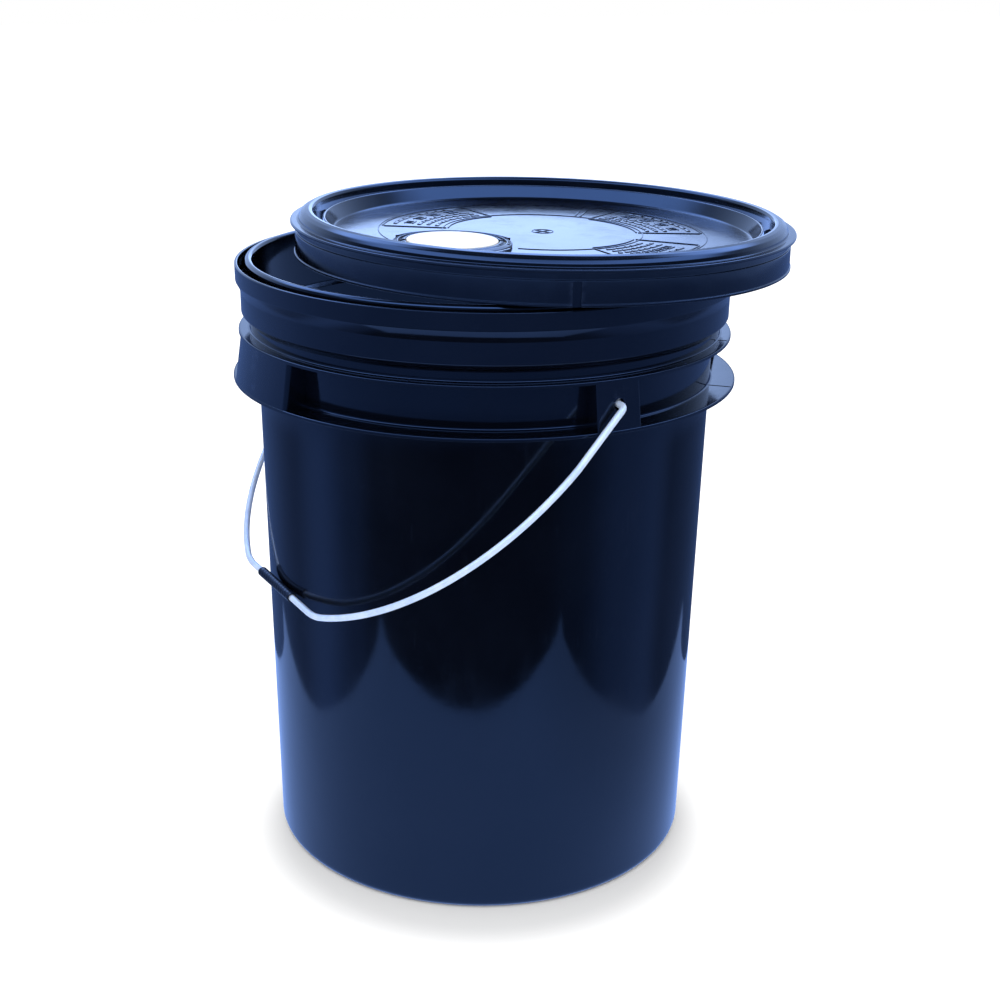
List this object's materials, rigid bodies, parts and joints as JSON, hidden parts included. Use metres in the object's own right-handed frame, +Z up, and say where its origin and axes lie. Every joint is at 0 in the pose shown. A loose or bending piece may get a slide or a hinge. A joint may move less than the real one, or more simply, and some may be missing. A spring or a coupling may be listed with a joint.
{
  "type": "plastic fermenting bucket",
  "caption": "Tall black plastic pail with flanged double rim, hanging wire bail with hand grip, and a loose round lid with pour spout lying askew on the rim.",
  "frame": {"origin": "centre of the pail's underside, on the ground; the foot ring stands on the same plane", "axes": "+Z up along the pail's axis; Y is the bail's swing axis, through both ears; the bail hangs on the -X side"},
  "size_m": [0.3303, 0.3256, 0.3971],
  "materials": {
    "black_plastic": "glossy moulded HDPE, near black with a blue cast, scuffed",
    "zinc_wire": "bright zinc-plated drawn wire",
    "grip_plastic": "satin black sleeve",
    "gasket_rubber": "matt",
    "flexible_plastic": "natural flexible LDPE, waxy",
    "spout_black": "glossy moulded black",
    "cap_white": "satin warm white"
  },
  "bodies": {
    "pail": {"pail": "black_plastic"},
    "bail": {"bail_wire": "zinc_wire"},
    "grip": {"bail_grip": "grip_plastic"},
    "lid": {"lid": "black_plastic", "lid_gasket": "gasket_rubber", "spout_body": "flexible_plastic", "spout_retainer": "spout_black"},
    "cap": {"spout_cap": "cap_white"},
    "pull_rear": {"pull_ring_rear": "spout_black"},
    "pull_front": {"pull_ring_front": "spout_black"}
  },
  "joints": [
    {"name": "bail_swing", "type": "hinge", "parent": "pail", "child": "bail", "pos_m": [0, 0, 0.3135], "axis": [0, 1, 0], "range_deg": [0, 107]},
    {"name": "grip_spin", "type": "hinge", "parent": "bail", "child": "grip", "pos_m": [-0.13786, 0.005, 0.17944], "axis": [0, 1, 0], "continuous": true},
    {"name": "lid_lift", "type": "slide", "parent": "pail", "child": "lid", "axis": [0, 0, 1], "range_m": [0, 0.25]},
    {"name": "cap_unscrew", "type": "hinge", "parent": "lid", "child": "cap", "pos_m": [-0.04179, -0.03633, 0.38601], "axis": [0.0118, -0.0065, 0.9999], "continuous": true},
    {"name": "pull_ring_rear_lift", "type": "hinge", "parent": "cap", "child": "pull_rear", "pos_m": [-0.04091, -0.03431, 0.38491], "axis": [0.9142, -0.4051, -0.0134], "range_deg": [0, 88]},
    {"name": "pull_ring_front_lift", "type": "hinge", "parent": "cap", "child": "pull_front", "pos_m": [-0.04269, -0.03833, 0.3849], "axis": [-0.9142, 0.4051, 0.0134], "range_deg": [0, 88]}
  ]
}
